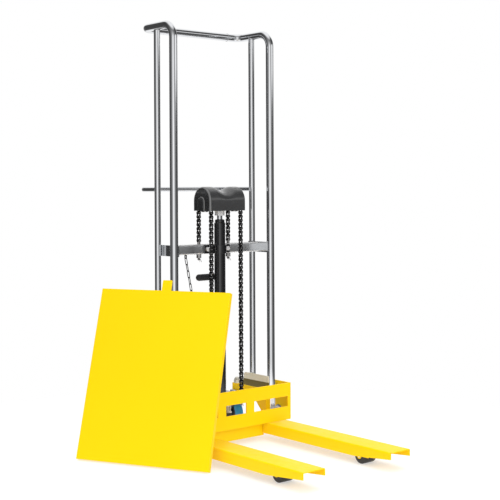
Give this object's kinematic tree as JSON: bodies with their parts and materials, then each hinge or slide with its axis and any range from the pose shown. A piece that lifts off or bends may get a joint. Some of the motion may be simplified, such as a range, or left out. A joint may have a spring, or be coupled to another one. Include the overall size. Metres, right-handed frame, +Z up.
{
  "type": "hand pallet stacker",
  "caption": "Manual hydraulic stacker with a chromed tube mast, chain-lifted yellow fork carriage, hand pump, swivel castors and a loose load platform leaning on the mast.",
  "frame": {"origin": "on the floor, at the middle of the whole object's footprint, the leaning platform included", "axes": "+X along the forks to their tips, +Y to the operator's left, +Z up along the mast"},
  "size_m": [1.045, 0.8842, 1.68],
  "materials": {
    "chrome_tube": "polished",
    "yellow_paint": "gloss",
    "black_paint": "satin",
    "black_plastic": "matte",
    "black_wheel": "satin",
    "blue_tyre": "satin",
    "chain_steel": "oiled",
    "bright_steel": "zinc plated",
    "rod_chrome": "polished",
    "cast_black": "satin"
  },
  "bodies": {
    "frame": {"left_mast_tube": "chrome_tube", "right_mast_tube": "chrome_tube", "top_crossbar": "chrome_tube", "rear_tubes": "chrome_tube", "lower_handle": "chrome_tube", "upper_cross_bar": "chrome_tube", "tube_straps": "chrome_tube", "legs": "yellow_paint", "base_cross_member": "yellow_paint", "mast_feet": "yellow_paint", "side_frames": "yellow_paint", "load_axles": "bright_steel", "castor_housings": "black_paint", "castor_stems": "bright_steel", "cylinder_barrel": "black_paint", "cylinder_gland": "bright_steel", "cylinder_clamp": "black_paint", "clamp_bolts": "bright_steel", "rear_chains": "chain_steel", "rear_chain_anchors": "bright_steel", "pump_block": "cast_black", "pivot_pins": "bright_steel", "release_post": "black_paint", "release_hook": "black_paint", "release_chain": "chain_steel"},
    "lift_head": {"piston_rod": "rod_chrome", "head_yoke": "bright_steel", "chain_wraps": "chain_steel", "chain_cover": "black_plastic"},
    "carriage": {"carriage_plate": "yellow_paint", "side_plates": "yellow_paint", "guide_pins": "bright_steel", "chain_shelf": "yellow_paint", "left_fork": "yellow_paint", "right_fork": "yellow_paint", "fork_heels": "yellow_paint", "front_chains": "chain_steel", "front_chain_anchors": "bright_steel"},
    "pump_lever": {"pump_lever": "black_paint", "lever_grips": "black_plastic"},
    "pump_plunger": {"pump_plunger": "bright_steel"},
    "release_lever": {"release_lever": "black_paint"},
    "platform": {"platform": "yellow_paint"},
    "left_sheave": {"left_sheave": "chain_steel"},
    "left_upper_guide_roller": {"left_upper_guide_roller": "chain_steel"},
    "left_lower_guide_roller": {"left_lower_guide_roller": "chain_steel"},
    "left_load_wheel": {"left_load_wheel": "black_wheel"},
    "left_castor": {"left_castor_fork": "black_paint"},
    "left_castor_wheel": {"left_castor_hub": "cast_black", "left_castor_tyre": "blue_tyre"},
    "left_brake": {"left_brake_pedal": "black_paint"},
    "right_sheave": {"right_sheave": "chain_steel"},
    "right_upper_guide_roller": {"right_upper_guide_roller": "chain_steel"},
    "right_lower_guide_roller": {"right_lower_guide_roller": "chain_steel"},
    "right_load_wheel": {"right_load_wheel": "black_wheel"},
    "right_castor": {"right_castor_fork": "black_paint"},
    "right_castor_wheel": {"right_castor_hub": "cast_black", "right_castor_tyre": "blue_tyre"},
    "right_brake": {"right_brake_pedal": "black_paint"}
  },
  "joints": [
    {"name": "piston_lift", "type": "slide", "parent": "frame", "child": "lift_head", "axis": [0, 0, 1], "range_m": [0, 0.55], "deforming": ["rear_chains"]},
    {"name": "carriage_run", "type": "slide", "parent": "lift_head", "child": "carriage", "axis": [0, 0, 1], "range_m": [0, 0.55], "deforming": ["front_chains"]},
    {"name": "left_sheave_spin", "type": "hinge", "parent": "lift_head", "child": "left_sheave", "pos_m": [-0.2555, 0.22909, 0.973], "axis": [0, 1, 0], "continuous": true},
    {"name": "left_upper_guide_roller_spin", "type": "hinge", "parent": "carriage", "child": "left_upper_guide_roller", "pos_m": [-0.2588, 0.40009, 0.196], "axis": [0, 1, 0], "continuous": true},
    {"name": "left_lower_guide_roller_spin", "type": "hinge", "parent": "carriage", "child": "left_lower_guide_roller", "pos_m": [-0.1982, 0.40009, 0.108], "axis": [0, 1, 0], "continuous": true},
    {"name": "left_load_wheel_spin", "type": "hinge", "parent": "frame", "child": "left_load_wheel", "pos_m": [0.3565, 0.35809, 0.03], "axis": [0, 1, 0], "continuous": true},
    {"name": "left_castor_swivel", "type": "hinge", "parent": "frame", "child": "left_castor", "pos_m": [-0.4165, 0.37209, 0.151], "axis": [0, 0, 1], "continuous": true},
    {"name": "left_castor_wheel_spin", "type": "hinge", "parent": "left_castor", "child": "left_castor_wheel", "pos_m": [-0.4565, 0.37209, 0.0625], "axis": [0, 1, 0], "continuous": true},
    {"name": "left_brake_press", "type": "hinge", "parent": "left_castor", "child": "left_brake", "pos_m": [-0.4645, 0.37209, 0.138], "axis": [0, -1, 0], "range_deg": [0, 7]},
    {"name": "right_sheave_spin", "type": "hinge", "parent": "lift_head", "child": "right_sheave", "pos_m": [-0.2555, 0.07909, 0.973], "axis": [0, 1, 0], "continuous": true},
    {"name": "right_upper_guide_roller_spin", "type": "hinge", "parent": "carriage", "child": "right_upper_guide_roller", "pos_m": [-0.2588, -0.09191, 0.196], "axis": [0, 1, 0], "continuous": true},
    {"name": "right_lower_guide_roller_spin", "type": "hinge", "parent": "carriage", "child": "right_lower_guide_roller", "pos_m": [-0.1982, -0.09191, 0.108], "axis": [0, 1, 0], "continuous": true},
    {"name": "right_load_wheel_spin", "type": "hinge", "parent": "frame", "child": "right_load_wheel", "pos_m": [0.3565, -0.04991, 0.03], "axis": [0, 1, 0], "continuous": true},
    {"name": "right_castor_swivel", "type": "hinge", "parent": "frame", "child": "right_castor", "pos_m": [-0.4165, -0.06391, 0.151], "axis": [0, 0, 1], "continuous": true},
    {"name": "right_castor_wheel_spin", "type": "hinge", "parent": "right_castor", "child": "right_castor_wheel", "pos_m": [-0.4565, -0.06391, 0.0625], "axis": [0, 1, 0], "continuous": true},
    {"name": "right_brake_press", "type": "hinge", "parent": "right_castor", "child": "right_brake", "pos_m": [-0.4645, -0.06391, 0.138], "axis": [0, -1, 0], "range_deg": [0, 7]},
    {"name": "pump_lever_swing", "type": "hinge", "parent": "frame", "child": "pump_lever", "pos_m": [-0.3305, 0.15409, 0.186], "axis": [0, -1, 0], "range_deg": [0, 50]},
    {"name": "plunger_stroke", "type": "slide", "parent": "frame", "child": "pump_plunger", "axis": [0, 0, -1], "range_m": [0, 0.02094]},
    {"name": "release_lift", "type": "hinge", "parent": "frame", "child": "release_lever", "pos_m": [-0.2975, 0.16809, 0.158], "axis": [-1, 0, 0], "range_deg": [0, 12], "deforming": ["release_chain"]},
    {"name": "platform_tip", "type": "hinge", "parent": "frame", "child": "platform", "pos_m": [-0.382, -0.44291, 0.00682], "axis": [0.8878, 0.4602, 0], "range_deg": [0, 108.07]}
  ],
  "couplings": [
    {"joint": "carriage_run", "follows": "piston_lift", "ratio": 1},
    {"joint": "left_sheave_spin", "follows": "piston_lift", "rad_per_m": -24.578},
    {"joint": "left_upper_guide_roller_spin", "follows": "piston_lift", "rad_per_m": 142.86},
    {"joint": "left_lower_guide_roller_spin", "follows": "piston_lift", "rad_per_m": -142.86},
    {"joint": "right_sheave_spin", "follows": "piston_lift", "rad_per_m": -24.578},
    {"joint": "right_upper_guide_roller_spin", "follows": "piston_lift", "rad_per_m": 142.86},
    {"joint": "right_lower_guide_roller_spin", "follows": "piston_lift", "rad_per_m": -142.86},
    {"joint": "plunger_stroke", "follows": "pump_lever_swing", "m_per_rad": 0.024},
    {"joint": "platform_tip", "follows": "piston_lift", "rad_per_m": 3.4294}
  ]
}
